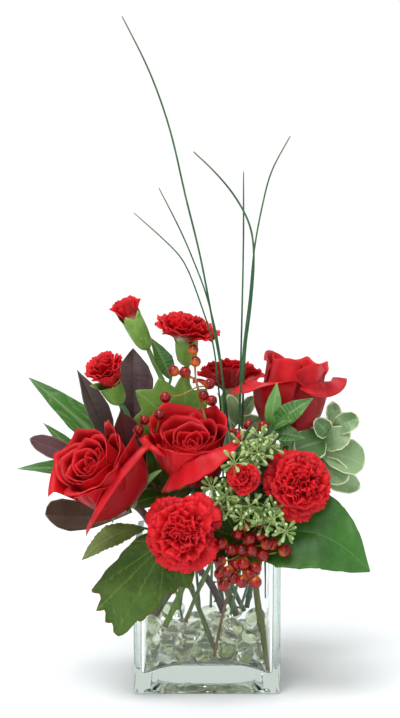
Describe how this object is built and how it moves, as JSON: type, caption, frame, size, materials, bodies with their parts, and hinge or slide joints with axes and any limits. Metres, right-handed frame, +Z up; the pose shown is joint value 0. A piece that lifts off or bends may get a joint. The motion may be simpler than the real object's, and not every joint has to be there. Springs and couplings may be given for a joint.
{
  "type": "flower arrangement in a glass vase",
  "caption": "Cube glass vase with clear glass gems, holding red carnations and roses with berries, mixed foliage and tall lily grass.",
  "frame": {"origin": "centre of the vase's flat underside", "axes": "+Z up out of the vase's mouth; -Y is the front of the arrangement, +X is to the right seen from the front"},
  "size_m": [0.306, 0.2049, 0.5832],
  "materials": {
    "clear_glass": "polished",
    "gem_glass": "polished",
    "carnation_petal": "matte",
    "rose_petal": "satin",
    "calyx": "satin",
    "rose_sepal": "satin",
    "stem": "satin",
    "rose_stem": "satin",
    "berry": "gloss",
    "broad_leaf": "satin",
    "viburnum_leaf": "matte",
    "dark_leaf": "satin",
    "ruscus_leaf": "satin",
    "variegated_leaf": "satin",
    "eucalyptus": "matte",
    "grass_blade": "satin"
  },
  "bodies": {
    "root": {"carnation_back_bloom": "carnation_petal", "carnation_back_calyx": "calyx", "carnation_back_stem": "stem", "carnation_bud_bloom": "carnation_petal", "carnation_bud_calyx": "calyx", "carnation_bud_stem": "stem", "carnation_front_bloom": "carnation_petal", "carnation_front_calyx": "calyx", "carnation_front_stem": "stem", "carnation_left_bloom": "carnation_petal", "carnation_left_calyx": "calyx", "carnation_left_stem": "stem", "carnation_mini_bloom": "carnation_petal", "carnation_mini_calyx": "calyx", "carnation_mini_stem": "stem", "carnation_right_bloom": "carnation_petal", "carnation_right_calyx": "calyx", "carnation_right_stem": "stem", "carnation_top_bloom": "carnation_petal", "carnation_top_calyx": "calyx", "carnation_top_stem": "stem", "glass_gem_bed": "gem_glass", "glass_vase": "clear_glass", "leucadendron_leaf_dark": "dark_leaf", "leucadendron_leaf_inner": "dark_leaf", "leucadendron_leaf_low": "dark_leaf", "leucadendron_leaf_tall": "dark_leaf", "leucadendron_leaf_upper": "dark_leaf", "leucadendron_leaf_west": "dark_leaf", "leucadendron_stem": "stem", "lily_grass_arched": "grass_blade", "lily_grass_left_high": "grass_blade", "lily_grass_left_low": "grass_blade", "lily_grass_right_high": "grass_blade", "lily_grass_tall": "grass_blade", "lily_grass_upright": "grass_blade", "pittosporum_sprig_centre": "variegated_leaf", "pittosporum_sprig_right": "variegated_leaf", "rose_centre_bloom": "rose_petal", "rose_centre_sepals": "rose_sepal", "rose_centre_stem": "rose_stem", "rose_left_bloom": "rose_petal", "rose_left_sepals": "rose_sepal", "rose_left_stem": "rose_stem", "rose_right_bloom": "rose_petal", "rose_right_sepals": "rose_sepal", "rose_right_stem": "rose_stem", "ruscus_sprig_left": "ruscus_leaf", "ruscus_sprig_right": "ruscus_leaf", "salal_leaf_back_left": "broad_leaf", "salal_leaf_back_right": "broad_leaf", "salal_leaf_right": "broad_leaf", "seeded_eucalyptus": "eucalyptus", "viburnum_berries_left": "berry", "viburnum_berries_low": "berry", "viburnum_berries_middle": "berry", "viburnum_berries_top": "berry", "viburnum_leaf_front": "viburnum_leaf", "viburnum_leaf_lobed": "viburnum_leaf", "viburnum_leaf_side": "viburnum_leaf"}
  },
  "joints": []
}
